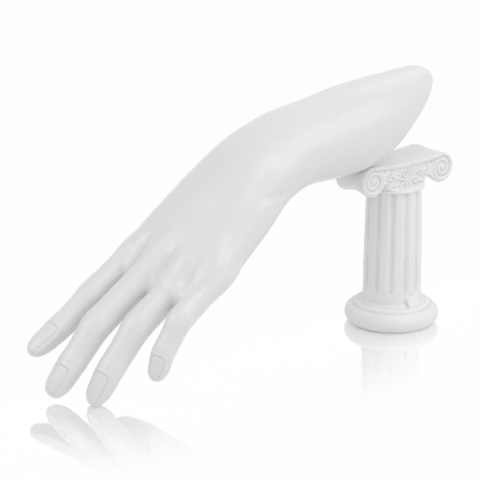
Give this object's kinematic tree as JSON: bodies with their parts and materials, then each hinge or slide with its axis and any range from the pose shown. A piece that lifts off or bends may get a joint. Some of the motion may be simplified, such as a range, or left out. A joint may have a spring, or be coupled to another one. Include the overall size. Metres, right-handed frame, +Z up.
{
  "type": "hand jewelry stand",
  "caption": "Display stand shaped as a slender hand and forearm, palm down with its fingertips on the table, its forearm resting on a short fluted column with scrolled capital.",
  "frame": {"origin": "centre of the column's foot, on the table", "axes": "+Z up; +X along the forearm away from the fingers; +Y towards the thumb side"},
  "size_m": [0.2699, 0.0792, 0.1535],
  "materials": {
    "hand_paint": "satin white paint over cast resin",
    "column_paint": "satin white paint over cast resin"
  },
  "bodies": {
    "root": {"hand_and_forearm": "hand_paint", "column": "column_paint"}
  },
  "joints": []
}
